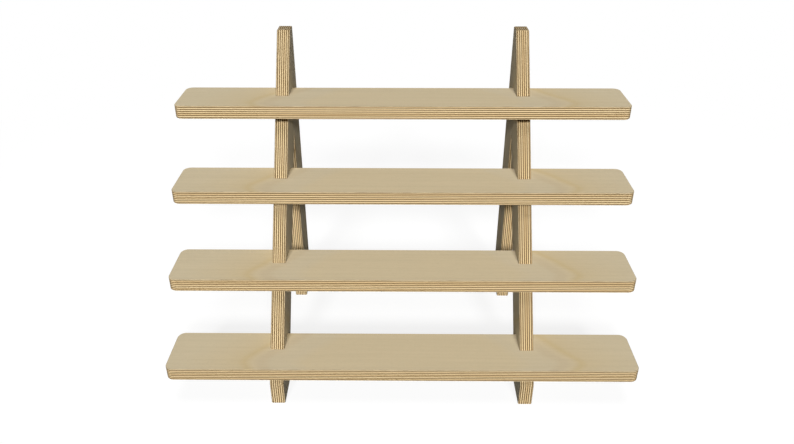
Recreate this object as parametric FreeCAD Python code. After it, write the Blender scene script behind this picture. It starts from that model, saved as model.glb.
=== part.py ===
import FreeCAD, Part
import os
from math import hypot

# Stepped plywood display stand: two one-piece A frames carry four shelves in cross-halved joints.
# X runs along the shelves, +Y points to the back and +Z up, in millimetres.
# The origin is on the floor, under the middle of the whole stand.

# Sheet
PLY = 18.0                  # thickness of every panel
ARRIS = 0.8                 # sanded bevel along the rim of every panel
FIT_CLEARANCE = 0.3         # how much wider a slot or a notch is than the panel in it

# Shelves
SHELF_COUNT = 4
SHELF_LENGTH = 600.0
SHELF_OVERHANG = 38.5       # reach ahead of the front leg, along the shelf's top
SHELF_SEAT = 34.5           # reach behind the leg's front edge, along the shelf's top
CORNER_RADIUS = 10.0        # rounded corners of a shelf, seen from above
LOWEST_SHELF_TOP = 69.0     # height of the lowest shelf's top above the floor
SHELF_RISE = 92.0           # step up from one shelf to the next
SHELF_RUN = 65.0            # step back from one shelf to the next, which sets the lean of the leg

# Frames
FRAME_SPACING = 325.0       # from the middle of one frame to the middle of the other
FRONT_LEG = 52.0            # width of the leaning leg, square to its edges
REAR_LEG = 52.0             # width of the upright leg
APEX_RISE = 75.0            # height of the frame above the top shelf
APEX_LAND = 20.5            # depth of the flat at the top of the frame
KNEE_DROP = 18.0            # from the lowest shelf's underside down to the upright front of the toe
SLOT_DEPTH = 14.5           # depth of a frame's slot behind the leg's front edge, along the shelf's top

# What follows from them
SHELF_DEPTH = SHELF_OVERHANG + SHELF_SEAT
NOTCH_DEPTH = SHELF_SEAT - SLOT_DEPTH
SLOPE = SHELF_RUN / SHELF_RISE
FRONT_LEG_LEVEL = FRONT_LEG * hypot(1.0, SLOPE)     # width of the leaning leg along a level line
FRAME_HEIGHT = LOWEST_SHELF_TOP + (SHELF_COUNT - 1) * SHELF_RISE + APEX_RISE
KNEE_HEIGHT = LOWEST_SHELF_TOP - PLY - KNEE_DROP
APEX_BEHIND_SHELF = SHELF_OVERHANG + SLOPE * (FRAME_HEIGHT - LOWEST_SHELF_TOP)
STAND_DEPTH = APEX_BEHIND_SHELF + APEX_LAND
LOWEST_SHELF_FRONT = -STAND_DEPTH / 2
REAR_LEG_BACK = STAND_DEPTH / 2
REAR_LEG_FRONT = REAR_LEG_BACK - REAR_LEG
FRAME_MIDDLES = {"left_frame": -FRAME_SPACING / 2, "right_frame": FRAME_SPACING / 2}


def leg_front(height):
    """Y of the leaning leg's front edge at a height."""
    return LOWEST_SHELF_FRONT + SHELF_OVERHANG + SLOPE * (height - LOWEST_SHELF_TOP)


def leg_back(height):
    """Y of the leaning leg's rear edge at a height."""
    return leg_front(height) + FRONT_LEG_LEVEL


def crotch_height():
    """Height at which the two legs' inner edges meet."""
    return LOWEST_SHELF_TOP + (REAR_LEG_FRONT - leg_back(LOWEST_SHELF_TOP)) / SLOPE


def shelf_front(step):
    return LOWEST_SHELF_FRONT + step * SHELF_RUN


def shelf_bottom(step):
    return LOWEST_SHELF_TOP - PLY + step * SHELF_RISE


def ease_rim(panel, through):
    """Bevel the edges round both broad faces of a panel, whose thickness runs along through."""
    broad_faces = [face for face in panel.Faces if abs(face.normalAt(0, 0).dot(through)) > 0.99]
    rim = [edge for face in broad_faces for edge in face.Edges]
    return panel.makeChamfer(ARRIS, rim)


def polygon(points):
    return Part.Wire(Part.makePolygon(points + points[:1]))


def frame(middle):
    """One A frame, with its mid-thickness at X = middle."""
    side = middle - PLY / 2
    across = FreeCAD.Vector(PLY, 0, 0)
    outline = [
        FreeCAD.Vector(side, leg_front(FRAME_HEIGHT), FRAME_HEIGHT),
        FreeCAD.Vector(side, REAR_LEG_BACK, FRAME_HEIGHT),
        FreeCAD.Vector(side, REAR_LEG_BACK, 0),
        FreeCAD.Vector(side, REAR_LEG_FRONT, 0),
        FreeCAD.Vector(side, REAR_LEG_FRONT, crotch_height()),
        FreeCAD.Vector(side, leg_back(0), 0),
        FreeCAD.Vector(side, leg_front(KNEE_HEIGHT), 0),
        FreeCAD.Vector(side, leg_front(KNEE_HEIGHT), KNEE_HEIGHT),
    ]
    panel = ease_rim(Part.Face(polygon(outline)).extrude(across), FreeCAD.Vector(1, 0, 0))
    for step in range(SHELF_COUNT):
        panel = panel.cut(slot(side, step))
    return panel


def slot(side, step):
    """Space that a frame leaves for one shelf, open at the leg's front edge."""
    slot_end = shelf_front(step) + SHELF_OVERHANG + SLOT_DEPTH
    corner = FreeCAD.Vector(side, shelf_front(step), shelf_bottom(step))
    return Part.makeBox(PLY, slot_end - shelf_front(step), PLY + FIT_CLEARANCE, corner)


def shelf(step):
    """One shelf board, notched from its rear edge for both frames."""
    corner = FreeCAD.Vector(-SHELF_LENGTH / 2, shelf_front(step), shelf_bottom(step))
    board = Part.makeBox(SHELF_LENGTH, SHELF_DEPTH, PLY, corner)
    upright = [edge for edge in board.Edges if abs(edge.tangentAt(edge.FirstParameter).z) > 0.99]
    board = ease_rim(board.makeFillet(CORNER_RADIUS, upright), FreeCAD.Vector(0, 0, 1))
    notch_width = PLY + FIT_CLEARANCE
    for middle in FRAME_MIDDLES.values():
        notch_corner = FreeCAD.Vector(
            middle - notch_width / 2,
            shelf_front(step) + SHELF_DEPTH - NOTCH_DEPTH,
            shelf_bottom(step),
        )
        board = board.cut(Part.makeBox(notch_width, NOTCH_DEPTH, PLY, notch_corner))
    return board


os.makedirs("parts", exist_ok=True)
nodes = {name: frame(middle) for name, middle in FRAME_MIDDLES.items()}
for step in range(SHELF_COUNT):
    nodes[f"shelf_{step + 1}"] = shelf(step)
for name, solid in nodes.items():
    solid.exportStep(f"parts/{name}.step")
    print(name, solid.ShapeType, solid.isValid(), round(solid.Volume), solid.BoundBox)
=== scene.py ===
from math import pi, radians

import bpy
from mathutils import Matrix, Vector


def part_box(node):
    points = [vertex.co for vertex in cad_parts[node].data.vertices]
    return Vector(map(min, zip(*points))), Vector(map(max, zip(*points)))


# Looks of a stepped plywood stand, in metres: birch veneer on the broad faces, striped plies on the edges.

# Camera, as the photograph was taken, with no shift
PHOTO_WIDTH = 794           # pixels
FOCAL_PIXELS = 705.4
SENSOR_WIDTH = 36.0         # millimetres
CAMERA_PLACE = (-0.0010, -0.8270, 0.6751)
CAMERA_DOWN = radians(30.10)
CAMERA_TURN = radians(0.42)

# Boards
SHELF_BOARD = {
    "along_axis": "X",              # the way the grain of the face runs
    "through_axis": "Z",            # the way through the plies
    "tip_across": -0.022,           # where the tips of the figure lie, from the middle of the board
    "rim": 0.50,                    # how far the bevel is sanded through to the glue line under the face
    "tint": (1.0, 1.0, 1.0),
}
FRAME_BOARD = {
    "along_axis": "Z",
    "through_axis": "X",
    "tip_across": 0.010,
    "rim": 0.85,
    "tint": (0.93, 0.97, 1.04),     # veneer slightly greyer and cooler than on the shelves
}
FRAME_NAMES = ("left_frame", "right_frame")
SHELF_SEED_STEP = 3.7               # seeds give each board a grain of its own
FRAME_SEED = 21.3
FRAME_SEED_STEP = 4.1

# Colours of the veneer on the broad faces, from the ends of a board inwards
VENEER_PALE = (0.562, 0.476, 0.322)
VENEER = (0.556, 0.460, 0.298)
VENEER_HALO = (0.551, 0.450, 0.281)
VENEER_BAND = (0.536, 0.425, 0.247)
VENEER_GREY = (0.528, 0.436, 0.289)
VENEER_COOL = (0.545, 0.461, 0.313)

# Figure of the veneer: nested chevrons that point to both ends of a board
CHEVRON_MIDDLE = 0.013      # where the middle of the figure lies, from the middle of the board
CHEVRON_REACH = 0.220       # from the middle of the figure to the tip of the strongest band
CHEVRON_SLANT = 0.95        # how fast a band falls back on both sides of its tip
CHEVRON_TIP = 0.006         # radius of the tip
CHEVRON_DRIFT = 0.017       # how far a band wanders
FIGURE_SPAN = 0.32          # reach that the colour ramp covers
FIGURE = (                  # shares of that span beyond the strongest band, and the colours there
    (-0.25, VENEER),
    (-0.19, VENEER_COOL),
    (-0.11, VENEER_COOL),
    (-0.08, VENEER_GREY),
    (-0.06, VENEER_GREY),
    (-0.033, VENEER),
    (0.0, VENEER_BAND),
    (0.03, VENEER_HALO),
    (0.09, VENEER),
    (0.25, VENEER_PALE),
)

# Grain of the veneer: noise cells per metre along it and across it, and how it changes the brightness
DRIFT_CELLS = (9.0, 26.0)
STREAK_CELLS = (5.0, 230.0)
STREAK_DETAIL = 3.0
STREAK_TONES = (0.965, 1.035)
FIBRE_CELLS = (60.0, 1500.0)
FIBRE_TONES = (0.975, 1.025)
PORE_CELLS = (200.0, 4200.0)
PORE_DETAIL = 1.0
PORE_NOISE = (0.60, 0.75)   # the noise at which a pore begins and at which it is full
PORE_TONES = (1.005, 0.86)  # between the pores and in them

# Plies on the edges
PLIES = 13
PLY_WAVE = 0.10             # how far a glue line wanders slowly, in plies
WAVE_CELLS = (11.0, 11.0)
PLY_RIPPLE = 0.06           # how far it wanders over a few millimetres
RIPPLE_CELLS = (170.0, 170.0)
PLY_UNEVEN = 0.45           # how much the plies differ in thickness
UNEVEN_CELLS = 0.8          # noise cells per ply
SIDE_GRAIN = (0.805, 0.630, 0.375)
SIDE_GRAIN_TAN = (0.640, 0.460, 0.240)
TAN_FROM = 0.45             # share of the plies that have no tan
TAN_MOST = 0.9              # how tan the tannest ply is
SIDE_CELLS = (45.0, 45.0)   # fibres of a ply cut along its grain
SIDE_LAYERS = 7.0           # noise cells per ply
SIDE_TONES = (0.90, 1.08)
END_GRAIN = (0.180, 0.116, 0.049)
END_CELLS = (900.0, 900.0)  # speckle of a ply cut across its grain
END_LAYERS = 6.0            # noise cells per ply
END_TONES = (0.72, 1.28)
PLY_TONES = (0.94, 1.06)    # from the darkest ply to the lightest
GLUE = (0.130, 0.083, 0.038)
GLUE_PLACE = (0.45, 0.50)   # where its line begins and is full, in plies from the middle of a ply
GLUE_SHOWS = 0.30           # how strongly it shows there
CUT_TURN = (0.55, 0.80)     # how squarely an edge faces a grain where the cut across it begins and is full
END_SHADE_TURN = (0.25, 0.95)  # the same for the painted shade on a board's ends
END_PAINTED_SHADE = 0.58         # painted shade: how much darker an edge is made where it faces along the face grain, beside one that faces across it; it darkens each board's ends and, in part, the frames' slanted leg edges

# Surface
EDGE_TURN = 0.5             # a place faces through the board less squarely than this on an edge
RIM_TURN = (0.15, 0.95)     # and between these on the bevelled rim
WORN_CELLS = (55.0, 55.0)
WORN_NOISE = (0.3, 0.7)
WORN_VARIES = 0.15          # how much more or less the rim is sanded from place to place
ROUGHNESS = (0.62, 0.74)
SPECULAR = 0.015
BUMP_STRENGTH = 0.35
BUMP_HEIGHT = 0.00008

# Noise
NOISE_DETAIL = 2.0          # where a layer of grain has no detail of its own
NOISE_RANGE = (0.25, 0.75)  # most of a noise lies between these

# Floor
FLOOR_SIZE = 40.0
FLOOR_FADE = (0.55, 1.30)   # how far from its middle it starts to turn white and is wholly white
FLOOR_GREY = 0.16           # the part of its colour that takes a shadow
FLOOR_GLOW = 0.86           # the part that does not
FLOOR_BOUNCE = 0.05         # its colour for the light that it throws back on the stand

# Light
AMBIENT = 0.01
LAMPS = {                   # the way the light goes, its strength and how far it spreads
    "key_left": ((0.20, 0.90, -0.54), 0.62, radians(8.0)),
    "key_right": ((-0.20, 0.90, -0.54), 0.62, radians(8.0)),
    "top": ((0.0, 0.30, -1.00), 0.32, radians(16.0)),
    "fill_left": ((1.0, 0.0, 0.0), 0.45, radians(1.0)),
    "fill_right": ((-1.0, 0.0, 0.0), 0.45, radians(1.0)),
    "fill_back": ((0.0, -1.0, 0.0), 0.65, radians(4.0)),
    "fill_back_left": ((0.24, -1.0, 0.0), 0.15, radians(4.0)),
    "fill_back_right": ((-0.24, -1.0, 0.0), 0.15, radians(4.0)),
}

AXES = {"X": 0, "Y": 1, "Z": 2}
MIX_INPUTS = (0, 6, 7)      # the factor and the two colours, among a Mix node's sockets for all kinds of data
MIX_OUTPUT = 2


def grey(level):
    return (level, level, level, 1.0)


def tinted(colour, tint):
    return tuple(part * share for part, share in zip(colour, tint))


class Nodes:
    """Short ways to add and join shader nodes in one tree."""

    def __init__(self, tree):
        self.tree = tree

    def add(self, kind, **settings):
        node = self.tree.nodes.new(kind)
        for name, value in settings.items():
            setattr(node, name, value)
        return node

    def feed(self, socket, value):
        """Join a socket, or set its value where there is nothing to join."""
        if isinstance(value, bpy.types.NodeSocket):
            self.tree.links.new(value, socket)
        else:
            socket.default_value = value

    def made(self, kind, *values, **settings):
        """First output of a new node whose inputs are fed in their order."""
        node = self.add(kind, **settings)
        for socket, value in zip(node.inputs, values):
            self.feed(socket, value)
        return node.outputs[0]

    def math(self, operation, *values):
        return self.made("ShaderNodeMath", *values, operation=operation)

    def times(self, first, second):
        return self.math("MULTIPLY", first, second)

    def between(self, first, second, share):
        """The first value where the share is 0, the second where it is 1."""
        return self.math("MULTIPLY_ADD", self.math("SUBTRACT", second, first), share, first)

    def wander(self, value, noise, amount):
        """A value moved up and down by a noise, over the amount in all."""
        return self.math("MULTIPLY_ADD", self.math("SUBTRACT", noise, 0.5), amount, value)

    def scale(self, value, from_low, from_high, to_low, to_high, smooth=False):
        """One range turned into another, and held at its ends."""
        kind = "SMOOTHSTEP" if smooth else "LINEAR"
        ranges = (from_low, from_high, to_low, to_high)
        return self.made("ShaderNodeMapRange", value, *ranges, interpolation_type=kind)

    def vary(self, noise, low, high):
        """Values that follow a noise from low to high."""
        return self.scale(noise, *NOISE_RANGE, low, high)

    def point(self, *values):
        return self.made("ShaderNodeCombineXYZ", *values)

    def noise(self, point, detail=NOISE_DETAIL):
        node = self.add("ShaderNodeTexNoise")
        self.feed(node.inputs["Vector"], point)
        node.inputs["Scale"].default_value = 1.0
        node.inputs["Detail"].default_value = detail
        return node.outputs[0]

    def grain(self, along, across, cells, last, detail=NOISE_DETAIL):
        """Noise with its own number of cells per metre along the grain and across it."""
        return self.noise(self.point(self.times(along, cells[0]), self.times(across, cells[1]), last), detail)

    def mix(self, factor, first, second):
        node = self.add("ShaderNodeMix", data_type="RGBA")
        for number, value in zip(MIX_INPUTS, (factor, first, second)):
            self.feed(node.inputs[number], (*value, 1.0) if isinstance(value, tuple) else value)
        return node.outputs[MIX_OUTPUT]

    def tone(self, colour, brightness):
        """A colour made darker or lighter by a factor that varies over the surface."""
        node = self.add("ShaderNodeVectorMath", operation="SCALE")
        self.feed(node.inputs[0], colour)
        self.feed(node.inputs["Scale"], brightness)
        return node.outputs[0]

    def ramp(self, value, stops):
        node = self.add("ShaderNodeValToRGB")
        elements = node.color_ramp.elements
        while len(elements) < len(stops):
            elements.new(0.5)
        for element, (place, colour) in zip(elements, stops):
            element.position = place
            element.color = (*colour, 1.0)
        self.feed(node.inputs[0], value)
        return node.outputs[0]


def board_coordinates(nodes, box, along_axis, through_axis):
    """Places on a board as (along the grain, across it, plies deep), and its normal in the same order."""
    low, high = box
    across_axis = (set(AXES) - {along_axis, through_axis}).pop()
    texture = nodes.add("ShaderNodeTexCoord")
    place = nodes.add("ShaderNodeSeparateXYZ")
    normal = nodes.add("ShaderNodeSeparateXYZ")
    nodes.feed(place.inputs[0], texture.outputs["Object"])
    nodes.feed(normal.inputs[0], texture.outputs["Normal"])
    along, across, through = [AXES[name] for name in (along_axis, across_axis, through_axis)]
    places = []
    for axis in (along, across):
        places.append(nodes.math("SUBTRACT", place.outputs[axis], (low[axis] + high[axis]) / 2))
    places.append(nodes.scale(place.outputs[through], low[through], high[through], 0.0, PLIES))
    facing = [nodes.math("ABSOLUTE", normal.outputs[axis]) for axis in (along, across, through)]
    return places, facing


def veneer_colour(nodes, along, across, seed, tip_across, tint):
    """Sanded birch face: faint chevrons, long streaks, fine fibres and short pores, all along the grain."""
    off_centre = nodes.math("SUBTRACT", across, tip_across)
    rounded = nodes.math("SQRT", nodes.math("MULTIPLY_ADD", off_centre, off_centre, CHEVRON_TIP ** 2))
    from_middle = nodes.math("ABSOLUTE", nodes.math("SUBTRACT", along, CHEVRON_MIDDLE))
    reach = nodes.math("MULTIPLY_ADD", rounded, CHEVRON_SLANT, from_middle)
    reach = nodes.wander(reach, nodes.grain(along, across, DRIFT_CELLS, seed), CHEVRON_DRIFT)
    band = CHEVRON_REACH / FIGURE_SPAN
    stops = [(0.0, VENEER)] + [(band + beyond, colour) for beyond, colour in FIGURE]
    stops = [(place, tinted(colour, tint)) for place, colour in stops]
    figure = nodes.ramp(nodes.math("DIVIDE", reach, FIGURE_SPAN), stops)
    streak = nodes.grain(along, across, STREAK_CELLS, seed, STREAK_DETAIL)
    fibre = nodes.grain(along, across, FIBRE_CELLS, seed)
    pores = nodes.grain(along, across, PORE_CELLS, seed, PORE_DETAIL)
    brightness = nodes.times(nodes.vary(streak, *STREAK_TONES), nodes.vary(fibre, *FIBRE_TONES))
    brightness = nodes.times(brightness, nodes.scale(pores, *PORE_NOISE, *PORE_TONES, smooth=True))
    return nodes.tone(figure, brightness), fibre


def edge_colour(nodes, places, facing, seed):
    """Bare ply edge: each ply is pale where its grain runs along the edge and dark where it is cut across;
    edges that face along the face grain are darkened further as painted shade.
    """
    along, across, depth = places
    waves = nodes.grain(along, across, WAVE_CELLS, seed)
    ripples = nodes.grain(along, across, RIPPLE_CELLS, seed)
    unevenness = nodes.noise(nodes.point(seed, 0.0, nodes.times(depth, UNEVEN_CELLS)))
    for noise, amount in ((waves, PLY_WAVE), (ripples, PLY_RIPPLE), (unevenness, PLY_UNEVEN)):
        depth = nodes.wander(depth, noise, amount)
    ply = nodes.math("FLOOR", depth)
    cross_ply = nodes.math("FLOORED_MODULO", ply, 2.0)
    cut_long, cut_cross = [nodes.scale(turn, *CUT_TURN, 0.0, 1.0, smooth=True) for turn in facing[:2]]
    cut = nodes.between(cut_long, cut_cross, cross_ply)
    chance = nodes.add("ShaderNodeTexWhiteNoise", noise_dimensions="1D")
    nodes.feed(chance.inputs["W"], nodes.math("ADD", ply, seed))
    ply_chance = chance.outputs["Value"]
    pale = nodes.mix(nodes.scale(ply_chance, TAN_FROM, 1.0, 0.0, TAN_MOST), SIDE_GRAIN, SIDE_GRAIN_TAN)
    colour = nodes.mix(cut, pale, END_GRAIN)
    fibres = nodes.grain(along, across, SIDE_CELLS, nodes.times(depth, SIDE_LAYERS))
    speckle = nodes.grain(along, across, END_CELLS, nodes.times(depth, END_LAYERS))
    brightness = nodes.between(nodes.vary(fibres, *SIDE_TONES), nodes.vary(speckle, *END_TONES), cut)
    brightness = nodes.times(brightness, nodes.scale(ply_chance, 0.0, 1.0, *PLY_TONES))
    # painted shade: an edge that faces along the face grain (a board's ends, and in part the frames' slanted
    # leg edges) is made darker
    painted_end_shade = nodes.scale(facing[0], *END_SHADE_TURN, 1.0, END_PAINTED_SHADE, smooth=True)
    colour = nodes.tone(colour, nodes.times(brightness, painted_end_shade))
    from_middle = nodes.math("ABSOLUTE", nodes.math("SUBTRACT", nodes.math("FRACT", depth), 0.5))
    glue_line = nodes.scale(from_middle, *GLUE_PLACE, 0.0, GLUE_SHOWS, smooth=True)
    return nodes.mix(glue_line, colour, GLUE), cut


def plywood(name, box, seed, board):
    """Plywood for one board: veneer on its broad faces, plies on its edges, a darker worn line on its rim."""
    material = bpy.data.materials.new(name)
    material.use_nodes = True
    nodes = Nodes(material.node_tree)
    surface = material.node_tree.nodes["Principled BSDF"]
    places, facing = board_coordinates(nodes, box, board["along_axis"], board["through_axis"])
    along, across = places[:2]
    through = facing[2]
    face, fibre = veneer_colour(nodes, along, across, seed, board["tip_across"], board["tint"])
    edge, cut = edge_colour(nodes, places, facing, seed)
    on_edge = nodes.math("LESS_THAN", through, EDGE_TURN)
    off_edge = nodes.math("GREATER_THAN", through, RIM_TURN[0])
    on_rim = nodes.times(off_edge, nodes.math("LESS_THAN", through, RIM_TURN[1]))
    rim = board["rim"]
    worn = nodes.grain(along, across, WORN_CELLS, seed)
    worn = nodes.scale(worn, *WORN_NOISE, rim - WORN_VARIES, rim + WORN_VARIES)
    colour = nodes.mix(on_edge, face, edge)
    colour = nodes.mix(on_rim, colour, nodes.mix(worn, face, GLUE))
    nodes.feed(surface.inputs["Base Color"], colour)
    nodes.feed(surface.inputs["Roughness"], nodes.vary(fibre, *ROUGHNESS))
    surface.inputs["Specular IOR Level"].default_value = SPECULAR
    bump = nodes.add("ShaderNodeBump")
    bump.inputs["Strength"].default_value = BUMP_STRENGTH
    bump.inputs["Distance"].default_value = BUMP_HEIGHT
    sunk = nodes.times(cut, on_edge)
    nodes.feed(bump.inputs["Height"], nodes.math("SUBTRACT", fibre, sunk))
    nodes.feed(surface.inputs["Normal"], bump.outputs[0])
    return material


def dress(name, seed, board):
    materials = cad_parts[name].data.materials
    materials.clear()
    materials.append(plywood(f"{name}_plywood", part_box(name), seed, board))


def seen_rays(nodes):
    """1 for the rays that show the background: straight to the camera, mirrored or through glass."""
    path = nodes.add("ShaderNodeLightPath")
    seen = nodes.math("MAXIMUM", path.outputs["Is Camera Ray"], path.outputs["Is Glossy Ray"])
    return nodes.math("MAXIMUM", seen, path.outputs["Is Transmission Ray"])


def make_world():
    """Background that is white where it is seen and gives the stand hardly any light."""
    world = bpy.data.worlds.new("studio")
    world.use_nodes = True
    nodes = Nodes(world.node_tree)
    background = world.node_tree.nodes["Background"]
    background.inputs["Color"].default_value = grey(1.0)
    nodes.feed(background.inputs["Strength"], nodes.scale(seen_rays(nodes), 0.0, 1.0, AMBIENT, 1.0))
    bpy.context.scene.world = world


def make_floor():
    """White floor that fades into the background away from the stand, and shows a faint shadow near it."""
    bpy.ops.mesh.primitive_plane_add(size=FLOOR_SIZE)
    floor = bpy.context.object
    floor.name = "studio_floor"
    material = bpy.data.materials.new("studio_floor")
    material.use_nodes = True
    tree = material.node_tree
    nodes = Nodes(tree)
    tree.nodes.remove(tree.nodes["Principled BSDF"])
    texture = nodes.add("ShaderNodeTexCoord")
    distance = nodes.add("ShaderNodeVectorMath", operation="LENGTH")
    nodes.feed(distance.inputs[0], texture.outputs["Object"])
    far = nodes.scale(distance.outputs["Value"], *FLOOR_FADE, 0.0, 1.0, smooth=True)
    shaded = nodes.made("ShaderNodeBsdfDiffuse", grey(FLOOR_GREY))
    glow = nodes.made("ShaderNodeEmission", grey(1.0), FLOOR_GLOW)
    near_floor = nodes.made("ShaderNodeAddShader", shaded, glow)
    far_floor = nodes.made("ShaderNodeEmission", grey(1.0), 1.0)
    seen_floor = nodes.made("ShaderNodeMixShader", far, near_floor, far_floor)
    bounce = nodes.made("ShaderNodeBsdfDiffuse", grey(FLOOR_BOUNCE))
    surface = nodes.made("ShaderNodeMixShader", seen_rays(nodes), bounce, seen_floor)
    nodes.feed(tree.nodes["Material Output"].inputs["Surface"], surface)
    floor.data.materials.append(material)


def make_lamps():
    """Soft far lamps: a key on each side of the camera, one above, and level fills for the sides and back."""
    for name, (direction, strength, spread) in LAMPS.items():
        data = bpy.data.lights.new(name, "SUN")
        data.energy = strength * pi
        data.angle = spread
        lamp = bpy.data.objects.new(name, data)
        lamp.location = -Vector(direction)
        lamp.rotation_euler = Vector(direction).to_track_quat("-Z", "Y").to_euler()
        bpy.context.scene.collection.objects.link(lamp)


def make_camera():
    data = bpy.data.cameras.new("camera")
    data.sensor_width = SENSOR_WIDTH
    data.lens = FOCAL_PIXELS * SENSOR_WIDTH / PHOTO_WIDTH
    camera = bpy.data.objects.new("camera", data)
    camera.location = CAMERA_PLACE
    camera.rotation_euler = (radians(90.0) - CAMERA_DOWN, 0.0, CAMERA_TURN)
    bpy.context.scene.collection.objects.link(camera)
    bpy.context.scene.camera = camera


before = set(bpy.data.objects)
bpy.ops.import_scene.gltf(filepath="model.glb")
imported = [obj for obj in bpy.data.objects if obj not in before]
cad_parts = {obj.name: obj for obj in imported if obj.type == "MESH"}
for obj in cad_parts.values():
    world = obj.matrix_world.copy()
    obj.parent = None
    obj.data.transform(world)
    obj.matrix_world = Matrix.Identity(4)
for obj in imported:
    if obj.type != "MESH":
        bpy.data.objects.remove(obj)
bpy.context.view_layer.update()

shelf_names = sorted(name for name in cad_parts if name.startswith("shelf"))
for number, name in enumerate(shelf_names):
    dress(name, SHELF_SEED_STEP * number, SHELF_BOARD)
for number, name in enumerate(FRAME_NAMES):
    dress(name, FRAME_SEED + FRAME_SEED_STEP * number, FRAME_BOARD)

make_world()
make_floor()
make_lamps()
make_camera()
bpy.context.scene.view_settings.view_transform = "Standard"
